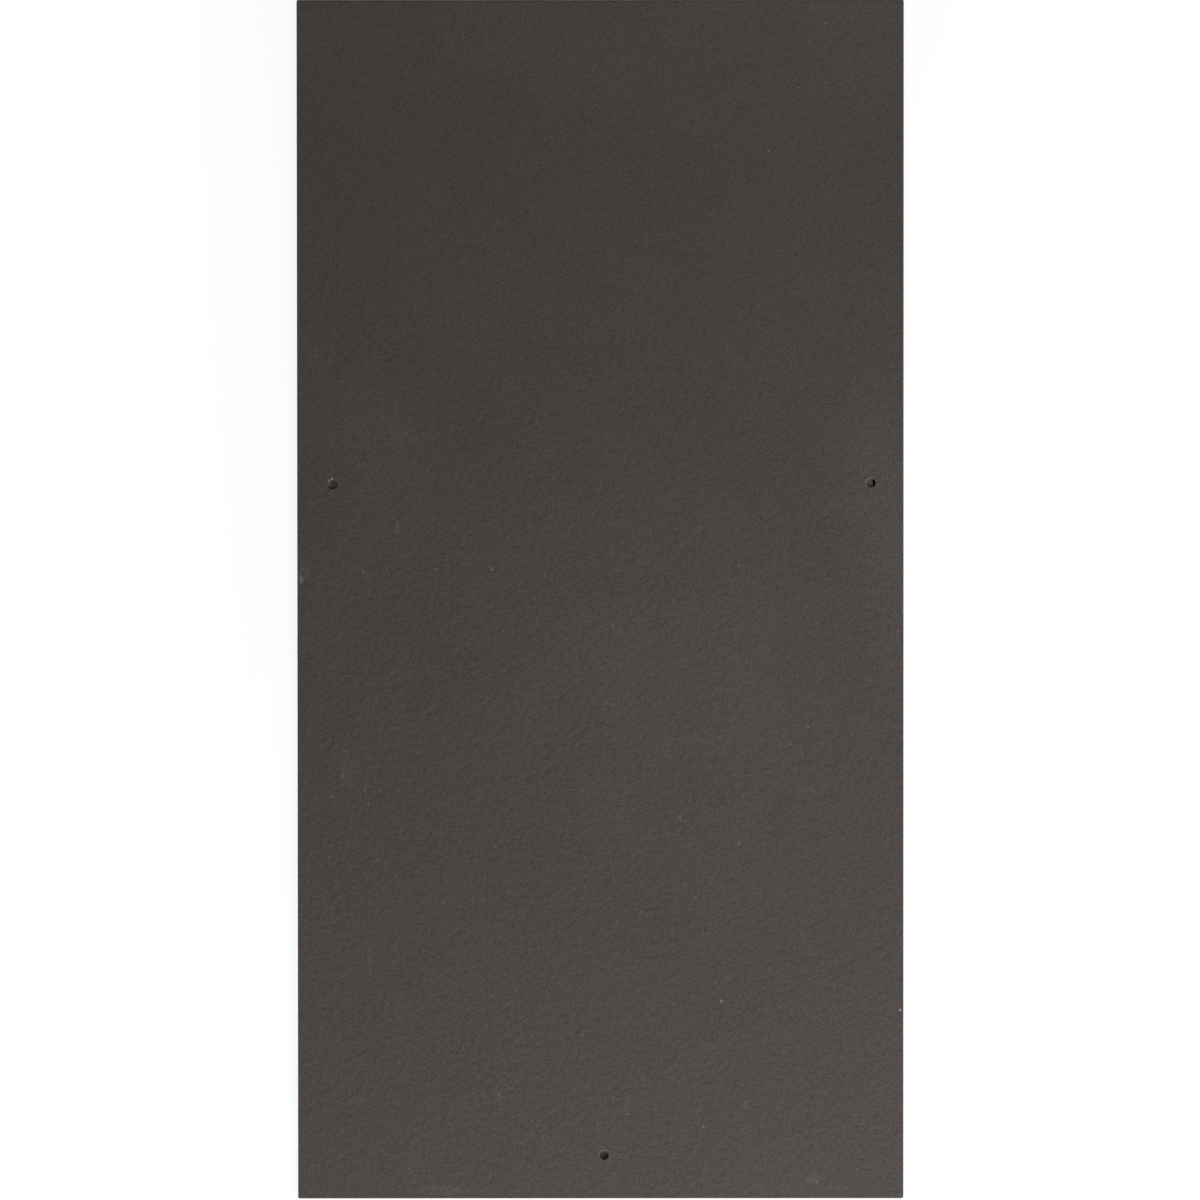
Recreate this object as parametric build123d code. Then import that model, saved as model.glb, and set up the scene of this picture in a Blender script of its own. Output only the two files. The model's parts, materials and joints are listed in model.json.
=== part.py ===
from build123d import *

import os

# One fibre cement roofing slate, lying flat with its coated weather face up.
# Lengths are in millimetres. X runs across the slate, Y runs from the tail to the head,
# and the origin is the middle of the underside.

# Sheet
slate_length = 600.0
slate_width = 300.0
slate_thickness = 4.0
corner_radius = 0.8
face_edge_radius = 0.4  # coated arris round the weather face
back_edge_chamfer = 0.25  # broken arris round the underside

# Nail holes, which clear the head of the slate in the course below
head_lap = 100.0  # how far a slate covers the one two courses below it
nail_clearance = 8.5  # from the covered head up to the nails
nail_hole_inset = 16.8  # from each side edge
nail_hole_diameter = 4.3

# Rivet hole, where the shank of a disc rivet comes up through the tail
rivet_hole_height = 21.7  # from the tail edge
rivet_hole_diameter = 4.3

# What the press leaves
punch_offset = 0.7  # the press stands this far to the right of the sheet's middle
punch_turn = 0.16  # and is turned by this many degrees to the sheet
rim_radius = 0.35  # coated rim drawn down into the mouth of a hole
breakout_depth = 0.9  # how deep the underside breaks away round a hole
breakout_flare = 1.1  # how far it breaks away beyond the wall of the hole
punch_overrun = 1.0  # how far the waste stands clear of both faces

# Places that follow from the sizes above
tail_y = -slate_length / 2
gauge = (slate_length - head_lap) / 2  # how much of each course shows
nail_hole_y = tail_y + slate_length - gauge + nail_clearance
nail_hole_reach = slate_width / 2 - nail_hole_inset
rivet_hole_y = tail_y + rivet_hole_height


def cut_sheet():
    # The pressed sheet, cut to size: its face edge is rounded and its back edge broken.
    outline = RectangleRounded(slate_width, slate_length, corner_radius)
    sheet = extrude(outline, slate_thickness)
    sheet = fillet(sheet.edges().group_by(Axis.Z)[-1], face_edge_radius)
    return chamfer(sheet.edges().group_by(Axis.Z)[0], back_edge_chamfer)


def punched_waste(diameter):
    # What one stroke of the punch takes out, turned about its own axis:
    # the break-out below, the straight wall, and the rolled rim at the face.
    wall = diameter / 2
    breakout = wall + breakout_flare
    mouth = wall + rim_radius
    rim_start = slate_thickness - rim_radius
    top = slate_thickness + punch_overrun
    below = Polyline(
        (0, -punch_overrun),
        (breakout, -punch_overrun),
        (breakout, 0),
        (wall, breakout_depth),
        (wall, rim_start),
    )
    rim = CenterArc((mouth, rim_start), rim_radius, 180, -90)
    above = Polyline((mouth, slate_thickness), (mouth, top), (0, top), (0, -punch_overrun))
    section = Plane.XZ * make_face(below + rim + above)
    return revolve(section, Axis.Z)


def punch_slate():
    # All three holes are struck together, so they share the press's offset and turn.
    press = Pos(punch_offset, nail_hole_y) * Rot(Z=punch_turn)
    nail_waste = punched_waste(nail_hole_diameter)
    rivet_waste = punched_waste(rivet_hole_diameter)
    slate = cut_sheet()
    for reach in (-nail_hole_reach, nail_hole_reach):
        slate -= press * Pos(reach, 0) * nail_waste
    slate -= press * Pos(0, rivet_hole_y - nail_hole_y) * rivet_waste
    return slate


os.makedirs("parts", exist_ok=True)
export_step(punch_slate(), "parts/slate.step")
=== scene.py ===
import json
import math

import bmesh
import bpy
from mathutils import Matrix, Vector, noise


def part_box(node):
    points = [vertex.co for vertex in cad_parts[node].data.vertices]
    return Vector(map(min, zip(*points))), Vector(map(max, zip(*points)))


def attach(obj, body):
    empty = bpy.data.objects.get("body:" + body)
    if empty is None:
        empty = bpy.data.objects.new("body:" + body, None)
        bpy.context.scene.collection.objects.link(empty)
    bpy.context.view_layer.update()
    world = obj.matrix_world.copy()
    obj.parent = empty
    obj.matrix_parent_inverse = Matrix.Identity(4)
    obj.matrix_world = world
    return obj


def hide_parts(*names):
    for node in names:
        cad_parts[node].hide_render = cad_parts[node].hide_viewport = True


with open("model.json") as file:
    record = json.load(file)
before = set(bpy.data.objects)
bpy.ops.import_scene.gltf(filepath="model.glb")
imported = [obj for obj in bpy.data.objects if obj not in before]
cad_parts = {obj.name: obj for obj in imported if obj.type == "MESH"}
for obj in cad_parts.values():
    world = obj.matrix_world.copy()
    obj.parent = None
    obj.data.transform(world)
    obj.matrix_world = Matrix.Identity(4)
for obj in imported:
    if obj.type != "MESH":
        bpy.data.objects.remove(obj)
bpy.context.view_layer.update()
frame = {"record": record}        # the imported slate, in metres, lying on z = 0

low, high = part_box("slate")
mm = 0.001
near = 0.01              # mm within which two places count as one
flatNormal = 0.99        # upright part of a face's normal from which the face counts as level
width, length, thickness = [(high[axis] - low[axis]) / mm for axis in range(3)]
bores = [mount for mount in frame["record"]["mounts"] if mount["kind"] == "bore"]
print("frame loaded:", round(width), "x", round(length), "x", round(thickness, 1), "mm,", len(bores), "holes")


def fromHex(code):
    # An sRGB hex colour as the linear one that a shader takes
    linear = []
    for start in (0, 2, 4):
        part = int(code[start:start + 2], 16) / 255
        linear.append(part / 12.92 if part <= 0.04045 else ((part + 0.055) / 1.055) ** 2.4)
    return (*linear, 1.0)


def addNode(tree, kind, inputs=None, **settings):
    # A shader node with its settings. An input is a value, or a socket to link from, and goes
    # by its name, or by its number where a node has several of that name.
    node = tree.nodes.new("ShaderNode" + kind)
    for name, value in settings.items():
        setattr(node, name, value)
    for socket, value in (inputs or {}).items():
        if isinstance(value, bpy.types.NodeSocket):
            tree.links.new(value, node.inputs[socket])
        else:
            node.inputs[socket].default_value = value
    return node


def newMaterial(name):
    # An empty material, and the piece's own coordinates in millimetres
    material = bpy.data.materials.new(name)
    material.use_nodes = True
    tree = material.node_tree
    tree.nodes.clear()
    own = addNode(tree, "TexCoord").outputs["Object"]
    place = addNode(tree, "VectorMath", {0: own, "Scale": 1 / mm}, operation="SCALE").outputs[0]
    return material, tree, place


# Camera: high over the slate with the head at the top of the picture. The photo shows the sheet 1 %
# short for its width and hardly narrower at the tail, as from far off and a little to the head's side.

cameraSettings = {
    "distance": 26000.0,      # mm from the weather face
    "lean": 8.9,              # degrees off straight above, towards the head
    "roll": -0.03,
    "frame": 593.8,           # mm across the picture at the slate
    "aside": -0.22,           # mm from the slate's middle to the picture's
    "along": 0.3,
    "sensor": 36.0,
    "clip": (0.05, 100.0),    # m
}


def makeCamera(settings):
    data = bpy.data.cameras.new("camera")
    data.sensor_width = settings["sensor"]
    data.lens = settings["sensor"] * settings["distance"] / settings["frame"]
    data.clip_start, data.clip_end = settings["clip"]
    camera = bpy.data.objects.new("camera", data)
    camera.rotation_euler = (math.radians(-settings["lean"]), 0, math.radians(settings["roll"]))
    aim = Vector((settings["aside"] * mm, settings["along"] * mm, high.z))
    camera.location = aim + camera.rotation_euler.to_matrix() @ Vector((0, 0, settings["distance"] * mm))
    bpy.context.scene.collection.objects.link(camera)
    bpy.context.scene.camera = camera


makeCamera(cameraSettings)
print("camera ready")


# The slate: one pressed sheet, sheared on four sides, with three holes punched from the face

sheetSettings = {
    "corner": 0.8,            # mm, as all lengths here
    "faceArris": 0.4,
    "backArris": 0.25,
    "roundCuts": 3,           # facets across a rounded corner or arris
    "cell": 5.0,              # rows of the flat faces, halved again on the weather face
    "edgeCuts": 4,            # more rows along the four edges
    "longEdge": 2.0,          # shorter edges there are left as they are
    "wallRows": (0.9, 1.7, 2.6),
    "fineReach": 14.0,        # the underside has the finer rows this near to a hole
    "backRise": 0.3,          # what lies lower belongs to the underside
    "edgeReach": 0.6,         # what lies this near to the outline belongs to the sheared edge
    "crisp": 48.0,            # degrees, from which a bend in the mesh is shaded as an edge
}
holeSettings = {
    "rim": 0.35,              # coated rim drawn down by the punch
    "rimCuts": 5,
    "wallCuts": 7,
    "wallFoot": 0.95,         # where the underside starts to break away
    "ledges": ((0.42, 0.84), (0.5, 0.62), (0.95, 0.53), (1.05, 0.34), (1.55, 0.26), (1.65, 0.09)),
    "breakout": 1.95,         # how far the break-out reaches beyond the wall
    "bareRise": 0.2,          # bare board shows this far up the wall from its foot
    "window": 6.3,            # half the square of rows that makes room for a hole
    "loopCuts": 3,
    "collarCuts": 4,
    "standOff": 1.5,          # how far the wall stands off a face while the two are bridged
}
# Fracture round a hole. Waves: of the noise, round the hole and to the mm of height.
# Out: how far it moves the broken surface outwards. Up: how far it lifts the ledges.
fractureSettings = {
    "lobe": {"waves": 1.2, "out": 1.5},
    "chip": {"waves": (2.3, 1.1), "out": 0.8, "up": 0.16},
    "flake": {"waves": (4.6, 2.1), "out": 0.18, "up": 0.1, "grows": 4},
    "grit": {"waves": 1.7, "out": 0.03},
    "lowest": 0.03,           # height under which no ledge falls
}
wearSettings = {
    "faceWave": 0.022,        # how far the pressed face rises and falls
    "faceWaves": (47.0, 13.0),    # size of its broad waves and its small ones
    "backWave": 0.05,
    "backWaves": (21.0, 6.0),
    "faceDepth": 0.5,         # the face's waves carry this far down its arris
    "reach": 0.9,             # the edges are worn this far in from the outline
    "coated": 0.1,            # and up to this far below the face
    "shear": 0.06,            # roughness of the sheared edges
    "tear": 0.14,             # deepest tears along the lower edge
    "tearBelow": 0.35,        # share of the thickness that they stay clear of
    "shearWaves": (0.8, 1.9),     # waves to the mm along an edge and up it
    "tearWaves": (0.21, 0.63),    # waves to the mm of the long tears and of the short ones
}
# Knocks on the arrises: place, reach and depth in mm
knocks = {
    "leftEdgeScrape": {"at": (-148.3, 10.2, 4.0), "reach": 1.5, "depth": 0.12},
    "leftEdgeScrapeUpper": {"at": (-148.5, 12.4, 4.0), "reach": 1.2, "depth": 0.1},
    "rightEdgeChip": {"at": (148.4, -205.4, 4.0), "reach": 0.9, "depth": 0.25},
    "tailCornerBruise": {"at": (149.4, -299.4, 4.0), "reach": 1.3, "depth": 0.25},
    "headCornerBruise": {"at": (-149.4, 299.4, 4.0), "reach": 1.1, "depth": 0.2},
    "rimFlakeOuter": {"at": (-134.3, 60.0, 4.0), "reach": 0.85, "depth": 0.3},
    "rimFlakeUpper": {"at": (-132.9, 60.75, 4.0), "reach": 0.8, "depth": 0.26},
}
knockSettings = {
    "finerWithin": (1.5, 1.1),    # shares of a knock's reach in which the rows are halved
    "shortest": 0.3,          # mm, edges under which are not halved again
    "fade": 1.4,              # how fast a knock runs out
}


def pastEdge(point):
    # How far a point lies outside the outline, or below 0 how far inside it
    return max(abs(point.x) - width / 2, abs(point.y) - length / 2)


def insideRows(point, settings):
    # Whether a point lies over the flat middle that the rounded corners leave
    return pastEdge(point) < near - settings["corner"]


def runsAlong(edge, axis, least):
    gap = edge.verts[1].co - edge.verts[0].co
    return abs(gap[axis]) > least and gap.length - abs(gap[axis]) < near / 10


def makeSheet(settings):
    bm = bmesh.new()
    stretch = Matrix.Diagonal((width, length, thickness, 1))
    bmesh.ops.create_cube(bm, size=1, matrix=Matrix.Translation((0, 0, thickness / 2)) @ stretch)
    arrises = (
        (lambda edge: runsAlong(edge, 2, thickness / 4), settings["corner"], settings["roundCuts"]),
        (
            lambda edge: all(vert.co.z > thickness - near for vert in edge.verts),
            settings["faceArris"],
            settings["roundCuts"],
        ),
        (lambda edge: all(vert.co.z < near for vert in edge.verts), settings["backArris"], 1),
    )
    for chosen, offset, segments in arrises:
        bmesh.ops.bevel(
            bm,
            geom=[edge for edge in bm.edges if chosen(edge)],
            offset=offset,
            offset_type="OFFSET",
            segments=segments,
            profile=0.5,
            affect="EDGES",
            clamp_overlap=False,
            material=-1,
        )
    cuts = [(2, height) for height in settings["wallRows"]]
    for side in (-1, 1):
        cuts.append((0, side * (width / 2 - settings["corner"])))
        cuts.append((1, side * (length / 2 - settings["corner"])))
    for axis, place in cuts:
        normal = Vector((0, 0, 0))
        normal[axis] = 1
        everything = bm.verts[:] + bm.edges[:] + bm.faces[:]
        bmesh.ops.bisect_plane(
            bm, geom=everything, dist=near / 100, plane_co=normal * place, plane_no=normal
        )
    for axis, size in ((0, width), (1, length)):
        longEdges = [edge for edge in bm.edges if runsAlong(edge, axis, size / 2)]
        rows = round(size / settings["cell"])
        bmesh.ops.subdivide_edges(bm, edges=longEdges, cuts=rows - 1, use_grid_fill=True)
    border = []
    for edge in bm.edges:
        middle = (edge.verts[0].co + edge.verts[1].co) / 2
        along = any(runsAlong(edge, axis, settings["longEdge"]) for axis in (0, 1))
        if along and not insideRows(middle, settings):
            border.append(edge)
    bmesh.ops.subdivide_edges(
        bm, edges=border, cuts=settings["edgeCuts"], use_grid_fill=True, use_single_edge=True
    )
    return bm


def halveRows(bm, settings):
    # Finer rows on the whole weather face, and on the underside round the holes
    chosen = set()
    for face in bm.faces:
        middle = face.calc_center_median()
        if not insideRows(middle, settings) or abs(face.normal.z) < flatNormal:
            continue
        byHole = any(
            max(abs(middle.x - bore["pos_m"][0] / mm), abs(middle.y - bore["pos_m"][1] / mm))
            < settings["fineReach"]
            for bore in bores
        )
        if face.normal.z > 0 or byHole:
            chosen.update(face.edges)
    bmesh.ops.subdivide_edges(bm, edges=list(chosen), cuts=1, use_grid_fill=True, use_single_edge=True)


def holeSection(radius, settings):
    # From the face down: the rolled rim, the straight wall and the ledges of the break-out
    rim = settings["rim"]
    section = []
    for step in range(settings["rimCuts"] + 1):
        turn = math.radians(90 + 90 * step / settings["rimCuts"])
        section.append((radius + rim + rim * math.cos(turn), thickness - rim + rim * math.sin(turn)))
    wallTop = thickness - rim
    for step in range(1, settings["wallCuts"] + 1):
        section.append((radius, wallTop + (settings["wallFoot"] - wallTop) * step / settings["wallCuts"]))
    for out, height in settings["ledges"]:
        section.append((radius + out, height))
    section.append((radius + settings["breakout"], 0))
    return section


def spunNoise(way, height, waves, shift):
    # Noise that closes on itself round a hole
    return noise.noise(Vector((way.x * waves[0], way.y * waves[0], height * waves[1] + shift)))


def fractureWall(walls, middle, radius, seed, settings, fracture):
    # Breaks the spun wall up below its foot; the seed gives each hole a break of its own
    lobe, chip, flake, grit = [fracture[name] for name in ("lobe", "chip", "flake", "grit")]
    for vert in walls:
        out = Vector((vert.co.x - middle.x, vert.co.y - middle.y, 0))
        way = out.normalized()
        height = vert.co.z
        share = max(0.0, 1 - height / settings["wallFoot"])
        small = spunNoise(way, height, chip["waves"], seed * 5.7)
        fine = spunNoise(way, height, flake["waves"], seed * 2.9)
        broad = noise.noise(way * lobe["waves"] + Vector((seed * 7.1, 3.3, 0)))
        rough = noise.noise(vert.co * grit["waves"])
        inner = 1.0 if height < thickness - settings["rim"] + near else 0.0
        shift = share * (lobe["out"] * broad + chip["out"] * small)
        shift += min(share * flake["grows"], 1) * flake["out"] * fine + grit["out"] * inner * rough
        vert.co += way * max(shift, radius - out.length)
        if near < height < settings["wallFoot"] + near:
            vert.co.z = max(fracture["lowest"], height + chip["up"] * small + flake["up"] * fine)


def punchHole(bm, bore, seed, settings):
    # A spun wall with a rolled rim above and a ragged break-out below, bridged into both faces
    middle = Vector((bore["pos_m"][0] / mm, bore["pos_m"][1] / mm, 0))
    radius = bore["dims"]["r_mm"]

    def around(point):
        return max(abs(point.x - middle.x), abs(point.y - middle.y))

    window = [
        face for face in bm.faces
        if abs(face.normal.z) > flatNormal and around(face.calc_center_median()) < settings["window"]
    ]
    bmesh.ops.delete(bm, geom=window, context="FACES")
    opened = [edge for edge in bm.edges if edge.is_boundary]
    bmesh.ops.subdivide_edges(bm, edges=opened, cuts=settings["loopCuts"], use_single_edge=True)
    opened = [edge for edge in bm.edges if edge.is_boundary]
    steps = len(opened) // 2

    points = []
    for out, height in holeSection(radius, settings):
        points += bmesh.ops.create_vert(bm, co=middle + Vector((out, 0, height)))["vert"]
    line = [bm.edges.new(pair) for pair in zip(points, points[1:])]
    before = set(bm.faces)
    bmesh.ops.spin(
        bm,
        geom=points + line,
        cent=middle,
        axis=(0, 0, 1),
        angle=2 * math.pi,
        steps=steps,
        use_merge=True,
    )
    tube = [face for face in bm.faces if face not in before]
    walls = {vert for face in tube for vert in face.verts}
    fractureWall(walls, middle, radius, seed, settings, fractureSettings)
    rings = [edge for edge in bm.edges if edge.is_boundary and all(vert in walls for vert in edge.verts)]
    # The wall stands clear of a face while it is bridged, so that the loops run the same way
    collar = []
    for upper, lift in ((True, -settings["standOff"]), (False, settings["standOff"])):
        bmesh.ops.translate(bm, vec=(0, 0, lift), verts=list(walls))
        pair = [edge for edge in opened + rings if (edge.verts[0].co.z > thickness / 2) == upper]
        collar += bmesh.ops.bridge_loops(bm, edges=pair)["edges"]
        bmesh.ops.translate(bm, vec=(0, 0, -lift), verts=list(walls))
    bmesh.ops.subdivide_edges(bm, edges=collar, cuts=settings["collarCuts"], use_grid_fill=True)
    bareBelow = settings["wallFoot"] + settings["bareRise"]
    return {face for face in tube if face.calc_center_median().z < bareBelow}


def wearDown(bm, settings):
    # Slow rise and fall of the pressed faces, and rough, torn edges; all of it goes inwards
    broadFace, smallFace = settings["faceWaves"]
    broadBack, smallBack = settings["backWaves"]
    along, up = settings["shearWaves"]
    longTear, shortTear = settings["tearWaves"]
    for vert in bm.verts:
        spot = vert.co.copy()
        normal = vert.normal.copy()
        outer = pastEdge(spot) > -settings["reach"]
        if spot.z > thickness - settings["faceDepth"]:
            wave = noise.noise(spot / broadFace) + 0.45 * noise.noise(spot / smallFace)
            vert.co.z -= settings["faceWave"] * min(1.0, max(0.0, 0.5 + wave))
        if spot.z < sheetSettings["backRise"] and not outer:
            wave = noise.noise(spot / broadBack + Vector((5, 5, 5))) + 0.4 * noise.noise(spot / smallBack)
            vert.co.z += settings["backWave"] * min(1.0, max(0.0, 0.35 + wave))
        if outer and spot.z < thickness - settings["coated"]:
            level = 1 - spot.z / thickness
            rough = 0.5 + noise.noise(Vector((spot.x * along, spot.y * along, spot.z * up)))
            torn = noise.noise(Vector((spot.x * longTear, spot.y * longTear, 9)))
            torn += 0.5 * noise.noise(spot * shortTear)
            depth = settings["shear"] * max(0.0, rough) * min(1.0, level * 4)
            depth += settings["tear"] * max(0.0, torn) * max(0.0, level - settings["tearBelow"])
            vert.co -= Vector((normal.x, normal.y, 0)) * depth


def knockIn(bm, places, settings):
    # Finer rows round each knock, then the arris is pushed in, unevenly
    for knock in places.values():
        at = Vector(knock["at"])
        for share in settings["finerWithin"]:
            reach = knock["reach"] * share
            close = [
                edge for edge in bm.edges
                if edge.calc_length() > settings["shortest"]
                and all((vert.co - at).length < reach for vert in edge.verts)
            ]
            bmesh.ops.subdivide_edges(bm, edges=close, cuts=1, use_grid_fill=True, use_single_edge=True)
        bm.normal_update()
        moves = []
        for vert in bm.verts:
            gap = (vert.co - at).length / knock["reach"]
            if gap < 1:
                rough = 0.7 + 0.9 * noise.noise(vert.co * 1.4) + 0.5 * noise.noise(vert.co * 3.7)
                depth = knock["depth"] * (1 - gap) ** settings["fade"] * max(0.0, rough)
                moves.append((vert, vert.normal * depth))
        for vert, move in moves:
            vert.co -= move


def giveMaterials(bm, broken, settings):
    # The coat is 0, the sheared or broken board 1 and the underside 2
    for face in bm.faces:
        middle = face.calc_center_median()
        outer = pastEdge(middle) > -settings["edgeReach"]
        face.smooth = True
        face.material_index = 0
        if face in broken or outer and settings["backRise"] < middle.z < thickness - settings["faceArris"]:
            face.material_index = 1
        elif middle.z < settings["backRise"]:
            face.material_index = 2


def makeSlate(coat, edge, back):
    bm = makeSheet(sheetSettings)
    bm.normal_update()
    halveRows(bm, sheetSettings)
    bm.normal_update()
    broken = set()
    for number, bore in enumerate(bores):
        broken |= punchHole(bm, bore, number + 1, holeSettings)
    bmesh.ops.recalc_face_normals(bm, faces=bm.faces[:])
    bm.normal_update()
    giveMaterials(bm, broken, sheetSettings)
    wearDown(bm, wearSettings)
    bm.normal_update()
    knockIn(bm, knocks, knockSettings)
    openEdges = sum(1 for one in bm.edges if len(one.link_faces) != 2)
    bmesh.ops.scale(bm, vec=(mm, mm, mm), verts=bm.verts)
    mesh = bpy.data.meshes.new("coatedSlate")
    bm.to_mesh(mesh)
    bm.free()
    mesh.set_sharp_from_angle(angle=math.radians(sheetSettings["crisp"]))
    for material in (coat, edge, back):
        mesh.materials.append(material)
    slate = bpy.data.objects.new("coatedSlate", mesh)
    bpy.context.scene.collection.objects.link(slate)
    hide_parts("slate")
    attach(slate, "root")
    print("slate made:", len(mesh.polygons), "faces,", openEdges, "open edges")


def pastEdgeField(tree, place):
    # The same distance as pastEdge gives, for each point of a material
    parts = addNode(tree, "SeparateXYZ", {0: place}).outputs
    sides = []
    for part, half in ((parts[0], width / 2), (parts[1], length / 2)):
        out = addNode(tree, "Math", {0: part}, operation="ABSOLUTE").outputs[0]
        sides.append(addNode(tree, "Math", {0: out, 1: half}, operation="SUBTRACT").outputs[0])
    return addNode(tree, "Math", {0: sides[0], 1: sides[1]}, operation="MAXIMUM").outputs[0]


# Acrylic coat, sprayed on and oven dried: matt and finely pebbled, with a faint cloudiness where the spray
# lay thicker, small pale marks where it has been rubbed in the stack, and rim rings and broad washes of
# painted light

coatSettings = {
    "deep": "332c29",
    "pale": "4e4642",
    "warm": "fff1f1",         # tints, equally light, that the mottle runs between
    "cool": "e9f7f3",
    "scuffAndPaintedLight": "a8a39d",
    "grain": 0.45,            # mm across one pebble of the spray, about as fine as the picture can show
    "grainTone": 0.88,        # how far from deep to pale the pebbles vary
    "dimple": 0.57,           # mm, the dimples between pebbles
    "dimpleTone": 1.15,
    "dimpleHeight": 0.03,     # mm
    "peel": 3.2,              # mm, the coat's orange peel over the pressed board
    "peelHeight": 0.4,
    "peelAtHead": 0.4,        # share of its height at the head, where it lies flatter
    "peelFade": (0.0, 260.0),     # mm above the middle, from where to where it flattens
    "clouds": 55.0,           # mm
    "cloudTone": 0.3,
    "mottle": 5.5,            # mm
    "markFade": (1.25, 0.2),      # shares of a mark's half length, where it starts and where it is full
    "markDepth": 4.0,         # mm, that half length downwards
    "markOnPebbles": (0.45, 1.15),    # share of a mark on the deep pebbles and on the pale ones
    "longMark": 20.0,         # mm, from which a mark is broad and as uneven as the clouds
    "unevenness": 0.3,
    "roughness": (0.56, 0.65),    # where the coat is thin and where it is thick
    "specular": 0.35,         # matting agents in the coat keep it low
}
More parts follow.
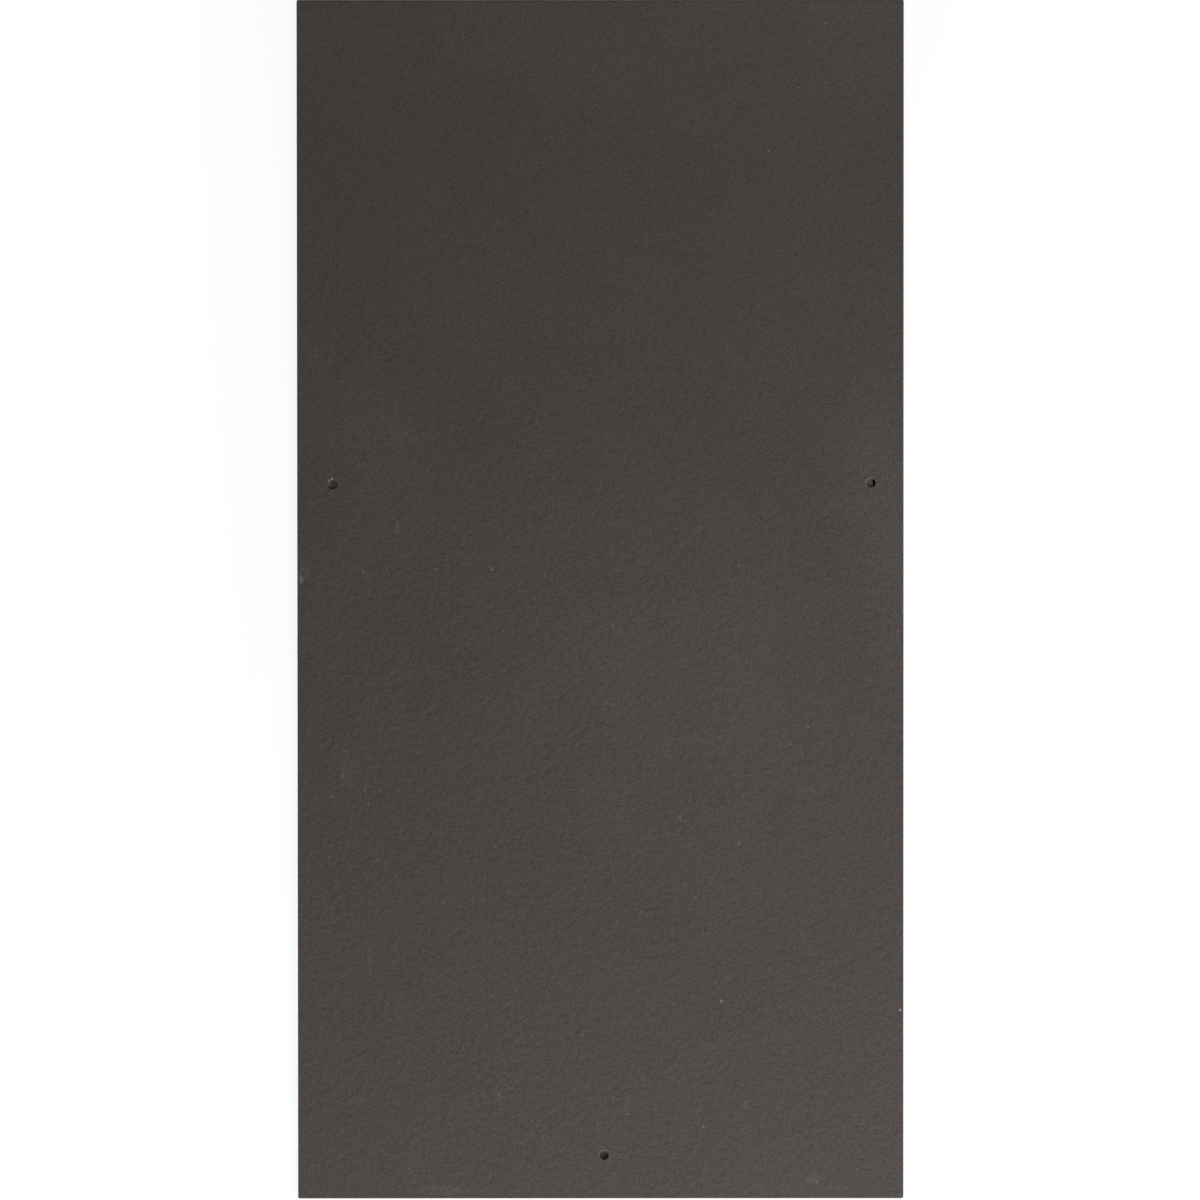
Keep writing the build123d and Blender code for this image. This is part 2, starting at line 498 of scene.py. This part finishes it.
# Pale marks on the face: place in mm from the middle, length and width in mm, turn in degrees, strength
marks = {
    "rimFlakeOuter": (-134.2, 60.0, 1.5, 1.0, 55, 0.5),
    "rimFlakeUpper": (-132.8, 60.8, 1.4, 1.2, 0, 0.6),
    # Next two: painted highlight, pale rings round the rims of the right nail hole and the rivet hole,
    # standing in for their rolled rims catching the lamps
    "rimHighlightRight": (133.6, 59.3, 5.4, 5.4, 0, 0.4),
    "rimHighlightTail": (1.4, -277.9, 5.4, 5.4, 0, 0.17),
    "speckNearTailRight": (59.7, -200.8, 1.5, 1.0, 60, 0.75),
    "smearAboveIt": (56.7, -191.6, 4.0, 1.6, 70, 0.07),
    "speckRightOfRivet": (51.0, -263.8, 1.3, 0.8, 0, 0.55),
    "speckAboveRivet": (13.3, -257.7, 1.3, 0.8, 30, 0.5),
    "rubRightOfRivet": (40.6, -265.6, 9.0, 3.6, 10, 0.035),
    "smearRightOfRivet": (72.0, -252.8, 7.0, 3.6, 80, 0.035),
    "smearAboveRivet": (13.4, -252.0, 5.0, 2.6, 80, 0.045),
    "tailEdgeRub": (105.2, -290.2, 8.0, 4.4, 0, 0.07),
    "tailEdgeRubSpot": (107.5, -291.5, 3.4, 2.4, -60, 0.13),
    "tailEdgeSpeck": (127.2, -285.2, 1.5, 1.0, 0, 0.16),
    "tailEdgeRubInner": (91.8, -295.0, 5.0, 3.4, 0, 0.05),
    "tailEdgeRubLeft": (-77.0, -295.6, 34.0, 5.0, 0, 0.045),
    "tailEdgeRubLeftSpot": (-75.6, -295.8, 2.4, 2.0, 0, 0.1),
    "speckRightMiddle": (102.5, -63.4, 1.6, 1.0, 0, 0.38),
    "speckRightMiddleLow": (93.7, -71.9, 1.1, 0.8, 0, 0.45),
    "rubRightMiddle": (103.2, -95.0, 5.6, 2.4, 0, 0.06),
    "rubRightMiddleInner": (101.6, -94.6, 1.8, 1.2, 0, 0.18),
    "rubRightMiddleOuter": (105.4, -95.4, 1.6, 1.4, 0, 0.18),
    "smearCentre": (24.6, -61.2, 8.0, 2.8, 25, 0.03),
    "streakCentreRight": (39.4, -109.3, 4.2, 1.0, 90, 0.13),
    "speckCentreRight": (68.6, -121.8, 2.8, 0.9, 140, 0.27),
    "speckCentre": (6.2, -12.4, 0.9, 0.8, 0, 0.38),
    "speckLeftA": (-67.6, 28.1, 1.3, 0.8, 90, 0.42),
    "speckLeftB": (-80.9, 15.8, 0.9, 0.7, 0, 0.4),
    "speckLeftC": (-53.7, 16.0, 3.2, 1.2, 120, 0.22),
    "speckLeftD": (-117.4, 14.4, 2.6, 1.2, 120, 0.28),
    "speckLeftE": (-27.5, 12.3, 1.6, 1.0, 0, 0.14),
    "speckLeftF": (-9.2, 16.4, 1.6, 1.2, 0, 0.14),
    "speckLeftG": (-67.4, 30.6, 1.4, 1.0, 0, 0.18),
    "smearAtLeftD": (-116.0, 12.6, 9.0, 6.0, 30, 0.03),
    "scrapeAtLeftEdge": (-148.0, 10.4, 5.6, 2.0, 92, 0.28),
    "scrapeBitUpper": (-147.4, 16.0, 1.3, 1.1, 0, 0.17),
    "scrapeBitInner": (-144.9, 16.2, 1.2, 1.0, 0, 0.15),
    "rubAtLeftEdge": (-146.2, 12.3, 9.0, 6.0, 75, 0.03),
    "speckRightEdge": (148.4, -205.4, 1.3, 1.2, 0, 1.0),
    "speckRightEdgeUpper": (145.3, -198.4, 1.0, 1.0, 0, 0.15),
    "streakLeftHole": (-100.4, 36.4, 9.0, 2.4, 95, 0.075),
    "smearByLeftHole": (-101.0, 84.0, 34.0, 22.0, -30, 0.018),
    "smearLeftUpper": (-143.0, 124.0, 20.0, 11.0, -50, 0.025),
    "streakLeftLow": (-114.6, -180.0, 22.0, 3.4, 90, 0.024),
    "speckLeftLowA": (-125.7, -75.8, 1.7, 1.0, 0, 0.22),
    "speckLeftLowB": (-126.8, -81.7, 1.6, 1.1, 60, 0.17),
    "speckLeftLowC": (-127.6, -87.7, 1.9, 1.0, 80, 0.15),
    "speckLeftLowD": (-116.8, -94.8, 1.8, 1.0, 70, 0.18),
    "speckLeftLowE": (-133.1, -98.4, 1.9, 1.3, 20, 0.17),
    "speckLeftLowF": (-115.0, -101.4, 2.4, 1.0, 85, 0.15),
    "smearLeftLow": (-125.0, -86.0, 24.0, 11.0, 100, 0.022),
    # Next six: painted light, broad pale washes that lighten the head, its two corners, the right edge, the
    # middle and the face round the left nail hole
    "paintedLightAtHead": (0.0, 305.0, 900.0, 150.0, 0, 0.0225),
    "paintedLightHeadCornerLeft": (-152.0, 304.0, 36.0, 60.0, 0, 0.02),
    "paintedLightHeadCornerRight": (152.0, 304.0, 36.0, 60.0, 0, 0.012),
    "paintedLightAtRightEdge": (152.0, 40.0, 84.0, 170.0, 0, 0.034),
    "paintedLightInMiddle": (38.0, -35.0, 230.0, 220.0, 0, 0.016),
    "paintedLightByLeftHole": (-110.0, 62.0, 66.0, 110.0, 0, 0.008),
    "speckTailLeftA": (-50.2, -248.2, 2.6, 1.3, 90, 0.13),
    "smearTailLeftA": (-50.6, -248.0, 6.0, 3.0, 90, 0.04),
    "speckTailLeftB": (-95.3, -284.8, 0.9, 0.8, 0, 0.3),
    "rubTailLeft": (-93.5, -271.8, 5.0, 4.0, 0, 0.03),
    "streakTailLeft": (-92.4, -279.0, 30.0, 8.0, 88, 0.022),
    "headStreakRight": (111.2, 288.7, 2.4, 0.8, -10, 0.26),
    "headSmearRight": (124.0, 291.6, 9.0, 1.2, 0, 0.07),
    "headSpeckA": (97.8, 256.6, 1.0, 0.9, 0, 0.35),
    "headSpeckB": (80.9, 257.6, 1.8, 1.2, 0, 0.13),
    "headSpeckC": (83.6, 224.9, 2.2, 0.9, 110, 0.18),
    "headSpeckD": (55.3, 193.0, 1.0, 0.8, 0, 0.3),
    "headSpeckE": (-24.0, 231.6, 1.2, 0.8, 0, 0.3),
}


def acrylicCoat(settings, marked):
    material, tree, place = newMaterial("acrylicCoatedFibreCement")
    pebble = addNode(tree, "TexVoronoi", {"Vector": place, "Scale": 1 / settings["grain"]})
    pebbleTone = addNode(tree, "SeparateColor", {0: pebble.outputs["Color"]}).outputs[0]
    dimple = addNode(
        tree, "TexNoise", {"Vector": place, "Scale": 1 / settings["dimple"], "Detail": 0.0}
    ).outputs[0]
    cloud = addNode(
        tree, "TexNoise", {"Vector": place, "Scale": 1 / settings["clouds"], "Detail": 3.0}
    ).outputs[0]
    mottle = addNode(
        tree, "TexNoise", {"Vector": place, "Scale": 1 / settings["mottle"], "Detail": 1.0}
    ).outputs[0]
    peel = addNode(
        tree, "TexNoise", {"Vector": place, "Scale": 1 / settings["peel"], "Detail": 3.0, "Roughness": 0.6}
    ).outputs[0]

    tone = 0.5
    patterns = (
        (pebbleTone, settings["grainTone"]),
        (cloud, settings["cloudTone"]),
        (dimple, settings["dimpleTone"]),
    )
    for pattern, share in patterns:
        centred = addNode(tree, "Math", {0: pattern, 1: 0.5}, operation="SUBTRACT").outputs[0]
        tone = addNode(tree, "Math", {0: centred, 1: share, 2: tone}, operation="MULTIPLY_ADD").outputs[0]
    colour = addNode(
        tree, "Mix", {0: tone, 6: fromHex(settings["deep"]), 7: fromHex(settings["pale"])}, data_type="RGBA"
    ).outputs[2]
    tint = addNode(
        tree, "Mix", {0: mottle, 6: fromHex(settings["warm"]), 7: fromHex(settings["cool"])}, data_type="RGBA"
    ).outputs[2]
    colour = addNode(
        tree, "Mix", {0: 1.0, 6: colour, 7: tint}, data_type="RGBA", blend_type="MULTIPLY"
    ).outputs[2]

    # Each pale mark fades out from its middle and is broken up by the pebbles
    # The marks paint wear, and some of them painted light: the rings at two hole rims and the broad pale
    # washes
    wearAndPaintedLight = 0.0
    start, full = settings["markFade"]
    least, most = 1 - settings["unevenness"], 1 + settings["unevenness"]
    uneven = addNode(tree, "MapRange", {0: cloud, 1: 0.35, 2: 0.65, 3: least, 4: most}).outputs[0]
    for x, y, long, wide, turn, strength in marked:
        own = addNode(
            tree,
            "Mapping",
            {
                "Vector": place,
                "Location": (x, y, thickness),
                "Rotation": (0, 0, math.radians(turn)),
                "Scale": (long / 2, wide / 2, settings["markDepth"]),
            },
            vector_type="TEXTURE",
        ).outputs[0]
        away = addNode(tree, "VectorMath", {0: own}, operation="LENGTH").outputs["Value"]
        mark = addNode(
            tree,
            "MapRange",
            {0: away, 1: start, 2: full, 3: 0.0, 4: strength},
            interpolation_type="SMOOTHSTEP",
        ).outputs[0]
        if long > settings["longMark"]:
            mark = addNode(tree, "Math", {0: mark, 1: uneven}, operation="MULTIPLY").outputs[0]
        wearAndPaintedLight = addNode(tree, "Math", {0: wearAndPaintedLight, 1: mark}, operation="MAXIMUM").outputs[0]
    onDeep, onPale = settings["markOnPebbles"]
    patchy = addNode(tree, "MapRange", {0: pebbleTone, 1: 0.1, 2: 0.7, 3: onDeep, 4: onPale}).outputs[0]
    wearAndPaintedLight = addNode(tree, "Math", {0: wearAndPaintedLight, 1: patchy}, operation="MULTIPLY", use_clamp=True).outputs[0]
    colour = addNode(
        tree, "Mix", {0: wearAndPaintedLight, 6: colour, 7: fromHex(settings["scuffAndPaintedLight"])}, data_type="RGBA"
    ).outputs[2]

    height = addNode(tree, "Math", {0: dimple, 1: settings["dimpleHeight"]}, operation="MULTIPLY").outputs[0]
    along = addNode(tree, "SeparateXYZ", {0: place}).outputs[1]
    start, end = settings["peelFade"]
    atHead = settings["peelHeight"] * settings["peelAtHead"]
    depth = addNode(
        tree, "MapRange", {0: along, 1: start, 2: end, 3: settings["peelHeight"], 4: atHead}
    ).outputs[0]
    height = addNode(tree, "Math", {0: peel, 1: depth, 2: height}, operation="MULTIPLY_ADD").outputs[0]
    bump = addNode(tree, "Bump", {"Height": height, "Strength": 1.0, "Distance": mm})
    thin, thick = settings["roughness"]
    rough = addNode(tree, "MapRange", {0: cloud, 1: 0.3, 2: 0.7, 3: thin, 4: thick}).outputs[0]
    shader = addNode(
        tree,
        "BsdfPrincipled",
        {
            "Base Color": colour,
            "Roughness": rough,
            "IOR": 1.5,
            "Specular IOR Level": settings["specular"],
            "Normal": bump.outputs[0],
        },
    )
    addNode(tree, "OutputMaterial", {0: shader.outputs[0]})
    return material


# Sheared edge of the board: laminated fibre cement, pale and rough, dusted with the coat from the face down

edgeSettings = {
    "cement": "5f5a55",
    "paleFilm": "77726b",
    "spray": "403b38",
    "film": 0.3,              # mm, one pressed film of the board
    "filmRun": 0.14,          # waves of a film to the mm along the edge
    "filmHeight": 0.05,       # mm that the films stand out
    "crumb": 0.4,             # mm
    "crumbDepth": 0.03,
    "fibre": 0.7,             # mm
    "patch": 3.0,             # mm, the patches that the spray reached
    "patchReach": 2.6,        # mm that these patches shift its limits by
    "dusted": (1.7, 3.6),     # mm up, so shifted, from the thinnest spray to the densest
    "dust": (0.15, 1.0),      # cover of the thinnest and of the densest
    "roughness": 0.82,
}


def shearedEdge(settings):
    material, tree, place = newMaterial("shearedFibreCementEdge")
    stretch = (settings["filmRun"], settings["filmRun"], 1 / settings["film"])
    flat = addNode(tree, "Mapping", {"Vector": place, "Scale": stretch}).outputs[0]
    films = addNode(tree, "TexNoise", {"Vector": flat, "Scale": 1.0, "Detail": 3.0}).outputs[0]
    crumb = addNode(tree, "TexVoronoi", {"Vector": place, "Scale": 1 / settings["crumb"]})
    fibre = addNode(
        tree, "TexNoise", {"Vector": place, "Scale": 1 / settings["fibre"], "Detail": 3.0}
    ).outputs[0]
    patches = addNode(
        tree, "TexNoise", {"Vector": place, "Scale": 1 / settings["patch"], "Detail": 2.0}
    ).outputs[0]
    cement = addNode(
        tree,
        "Mix",
        {0: films, 6: fromHex(settings["cement"]), 7: fromHex(settings["paleFilm"])},
        data_type="RGBA",
    ).outputs[2]
    up = addNode(tree, "SeparateXYZ", {0: place}).outputs[2]
    level = addNode(
        tree, "Math", {0: patches, 1: settings["patchReach"], 2: up}, operation="MULTIPLY_ADD"
    ).outputs[0]
    level = addNode(tree, "Math", {0: fibre, 1: level}, operation="ADD").outputs[0]
    start, end = settings["dusted"]
    least, most = settings["dust"]
    dusted = addNode(tree, "MapRange", {0: level, 1: start, 2: end, 3: least, 4: most}).outputs[0]
    colour = addNode(
        tree, "Mix", {0: dusted, 6: cement, 7: fromHex(settings["spray"])}, data_type="RGBA"
    ).outputs[2]
    height = addNode(tree, "Math", {0: films, 1: settings["filmHeight"]}, operation="MULTIPLY").outputs[0]
    height = addNode(
        tree,
        "Math",
        {0: crumb.outputs["Distance"], 1: -settings["crumbDepth"], 2: height},
        operation="MULTIPLY_ADD",
    ).outputs[0]
    bump = addNode(tree, "Bump", {"Height": height, "Strength": 1.0, "Distance": mm})
    shader = addNode(
        tree,
        "BsdfPrincipled",
        {"Base Color": colour, "Roughness": settings["roughness"], "IOR": 1.5, "Normal": bump.outputs[0]},
    )
    addNode(tree, "OutputMaterial", {0: shader.outputs[0]})
    return material


# Underside of the pressed board: bare cement, dull and cloudy, that kept the weave of the making felt

backSettings = {
    "cement": "69655f",
    "pale": "7d7972",
    "spray": "4b4643",
    "weave": 1.3,             # mm from thread to thread of the felt
    "weaveTone": 0.22,
    "weaveHeight": 0.03,      # mm
    "pull": 9.0,              # mm across the places where the felt was pulled askew
    "pulledBy": 1.4,
    "clouds": 38.0,           # mm
    "cloudTone": 0.75,
    "grit": 0.5,              # mm
    "gritTone": 0.2,
    "gritDepth": 0.015,
    "sprayed": (-1.0, 4.5),   # mm past the outline, so shifted, from the first overspray to the densest
    "sprayReach": 9.0,        # mm that the clouds shift these limits by
    "sprayShare": 0.8,        # cover of the densest
    "roughness": 0.85,
}


def feltMarkedBack(settings):
    material, tree, place = newMaterial("feltMarkedFibreCementBack")
    askew = addNode(
        tree, "TexNoise", {"Vector": place, "Scale": 1 / settings["pull"], "Detail": 1.0}
    ).outputs["Color"]
    by = (settings["pulledBy"], settings["pulledBy"], 0)
    pulled = addNode(tree, "VectorMath", {0: askew, 1: by, 2: place}, operation="MULTIPLY_ADD").outputs[0]
    threads = []
    for axis in ("X", "Y"):
        wave = addNode(
            tree,
            "TexWave",
            {"Vector": pulled, "Scale": 1 / settings["weave"] / math.pi, "Distortion": 0.6, "Detail": 1.0},
            bands_direction=axis,
        )
        threads.append(wave.outputs["Fac"])
    weave = addNode(tree, "Math", {0: threads[0], 1: threads[1]}, operation="MULTIPLY").outputs[0]
    clouds = addNode(
        tree, "TexNoise", {"Vector": place, "Scale": 1 / settings["clouds"], "Detail": 4.0}
    ).outputs[0]
    grit = addNode(tree, "TexVoronoi", {"Vector": place, "Scale": 1 / settings["grit"]})
    gritTone = addNode(tree, "SeparateColor", {0: grit.outputs["Color"]}).outputs[0]
    tone = addNode(
        tree, "MapRange", {0: clouds, 1: 0.3, 2: 0.7, 3: 0.0, 4: settings["cloudTone"]}
    ).outputs[0]
    for pattern, share in ((weave, settings["weaveTone"]), (gritTone, settings["gritTone"])):
        tone = addNode(tree, "Math", {0: pattern, 1: share, 2: tone}, operation="MULTIPLY_ADD").outputs[0]
    colour = addNode(
        tree, "Mix", {0: tone, 6: fromHex(settings["cement"]), 7: fromHex(settings["pale"])}, data_type="RGBA"
    ).outputs[2]
    border = addNode(
        tree,
        "Math",
        {0: clouds, 1: settings["sprayReach"], 2: pastEdgeField(tree, place)},
        operation="MULTIPLY_ADD",
    ).outputs[0]
    start, end = settings["sprayed"]
    sprayed = addNode(
        tree, "MapRange", {0: border, 1: start, 2: end, 3: 0.0, 4: settings["sprayShare"]}
    ).outputs[0]
    colour = addNode(
        tree, "Mix", {0: sprayed, 6: colour, 7: fromHex(settings["spray"])}, data_type="RGBA"
    ).outputs[2]
    height = addNode(tree, "Math", {0: weave, 1: settings["weaveHeight"]}, operation="MULTIPLY").outputs[0]
    height = addNode(
        tree,
        "Math",
        {0: grit.outputs["Distance"], 1: -settings["gritDepth"], 2: height},
        operation="MULTIPLY_ADD",
    ).outputs[0]
    bump = addNode(tree, "Bump", {"Height": height, "Strength": 1.0, "Distance": mm})
    shader = addNode(
        tree,
        "BsdfPrincipled",
        {"Base Color": colour, "Roughness": settings["roughness"], "IOR": 1.5, "Normal": bump.outputs[0]},
    )
    addNode(tree, "OutputMaterial", {0: shader.outputs[0]})
    return material


coat = acrylicCoat(coatSettings, marks.values())
makeSlate(coat, shearedEdge(edgeSettings), feltMarkedBack(backSettings))


# Studio: a pale floor that is white to the camera, soft lamps and a dim even sky

studioSettings = {
    "floorSize": 6.0,         # m
    "floorColour": "f0efec",
    "floorDrop": 0.05,        # mm that it lies below the slate
    # What the slate lies on, seen only through its holes: where each strip of it starts, and its colour.
    # The tones are painted light and shade: each strip is as light or dark as its hole is meant to look, and
    # at the right nail hole a pale strip ends in a near-black one, a painted shadow of the hole's right side.
    "bedWithPaintedShade": (
        (-400.0, "cfbcb2"),
        (-133.6, "b5a59b"),
        (-60.0, "82786c"),
        (60.0, "84817b"),
        (133.4, "b9b5ac"),
        (134.8, "1b1915"),
    ),
    "bedInset": 3.0,          # mm inside the outline, where the floor turns into this bed
    "shadowReach": 60.0,      # mm round the slate in which the floor shows its shadow
    "shadowShare": 0.15,
    "glow": 1.04,             # makes up for that share, so that the floor stays white
    "lampSize": 0.9,
    "keyPower": 8.8,
    "keyPlace": (0.15, -0.85, 0.5),
    "sidePower": 5.6,
    "sidePlace": (0.77, 0.0, 0.64),
    "sky": 0.28,
}


def makeFloor(settings):
    material, tree, place = newMaterial("paleStudioFloor")
    path = addNode(tree, "LightPath").outputs
    seen = path["Is Camera Ray"]
    for ray in ("Is Glossy Ray", "Is Transmission Ray"):
        seen = addNode(tree, "Math", {0: seen, 1: path[ray]}, operation="MAXIMUM").outputs[0]
    outside = pastEdgeField(tree, place)
    clear = addNode(
        tree, "Math", {0: outside, 1: -settings["bedInset"]}, operation="GREATER_THAN"
    ).outputs[0]
    start, end = settings["shadowReach"] / 3, settings["shadowReach"]
    unshaded = 1 - settings["shadowShare"]
    away = addNode(tree, "MapRange", {0: outside, 1: start, 2: end, 3: unshaded, 4: 1.0}).outputs[0]
    bright = addNode(tree, "Math", {0: seen, 1: away}, operation="MULTIPLY").outputs[0]
    bright = addNode(tree, "Math", {0: bright, 1: clear}, operation="MULTIPLY").outputs[0]
    across = addNode(tree, "SeparateXYZ", {0: place}).outputs[0]
    # The bed's strips paint light and shade into the holes, a near-black painted shadow at the right nail
    # hole among them
    bedWithPaintedShade = fromHex("000000")
    for edge, strip in settings["bedWithPaintedShade"]:
        past = addNode(tree, "Math", {0: across, 1: edge}, operation="GREATER_THAN").outputs[0]
        bedWithPaintedShade = addNode(tree, "Mix", {0: past, 6: bedWithPaintedShade, 7: fromHex(strip)}, data_type="RGBA").outputs[2]
    paint = addNode(
        tree, "Mix", {0: clear, 6: bedWithPaintedShade, 7: fromHex(settings["floorColour"])}, data_type="RGBA"
    ).outputs[2]
    surface = addNode(tree, "BsdfDiffuse", {"Color": paint})
    strength = addNode(
        tree, "MapRange", {0: bright, 1: unshaded, 2: 1.0, 3: settings["glow"], 4: 1.0}
    ).outputs[0]
    white = addNode(tree, "Emission", {"Color": (1, 1, 1, 1), "Strength": strength})
    both = addNode(tree, "MixShader", {0: bright, 1: surface.outputs[0], 2: white.outputs[0]})
    addNode(tree, "OutputMaterial", {0: both.outputs[0]})
    bm = bmesh.new()
    bmesh.ops.create_grid(bm, x_segments=1, y_segments=1, size=settings["floorSize"] / 2)
    bmesh.ops.translate(bm, vec=(0, 0, -settings["floorDrop"] * mm), verts=bm.verts)
    mesh = bpy.data.meshes.new("floor")
    bm.to_mesh(mesh)
    bm.free()
    mesh.materials.append(material)
    floor = bpy.data.objects.new("floor", mesh)
    bpy.context.scene.collection.objects.link(floor)


def makeLamp(name, power, size, place):
    data = bpy.data.lights.new(name, "AREA")
    data.energy = power
    data.shape = "SQUARE"
    data.size = size
    lamp = bpy.data.objects.new(name, data)
    lamp.location = place
    lamp.rotation_euler = (-Vector(place)).to_track_quat("-Z", "Y").to_euler()
    bpy.context.scene.collection.objects.link(lamp)


def makeSky(settings):
    world = bpy.data.worlds.new("sky")
    world.use_nodes = True
    tree = world.node_tree
    tree.nodes.clear()
    path = addNode(tree, "LightPath").outputs
    dim = addNode(tree, "Background", {"Color": (1, 1, 1, 1), "Strength": settings["sky"]})
    white = addNode(tree, "Background", {"Color": (1, 1, 1, 1), "Strength": 1.0})
    both = addNode(tree, "MixShader", {0: path["Is Camera Ray"], 1: dim.outputs[0], 2: white.outputs[0]})
    addNode(tree, "OutputWorld", {0: both.outputs[0]})
    bpy.context.scene.world = world


makeFloor(studioSettings)
makeSky(studioSettings)
for lampName in ("key", "side"):
    makeLamp(
        lampName,
        studioSettings[lampName + "Power"],
        studioSettings["lampSize"],
        studioSettings[lampName + "Place"],
    )
bpy.context.scene.view_settings.view_transform = "Standard"
print("studio ready")
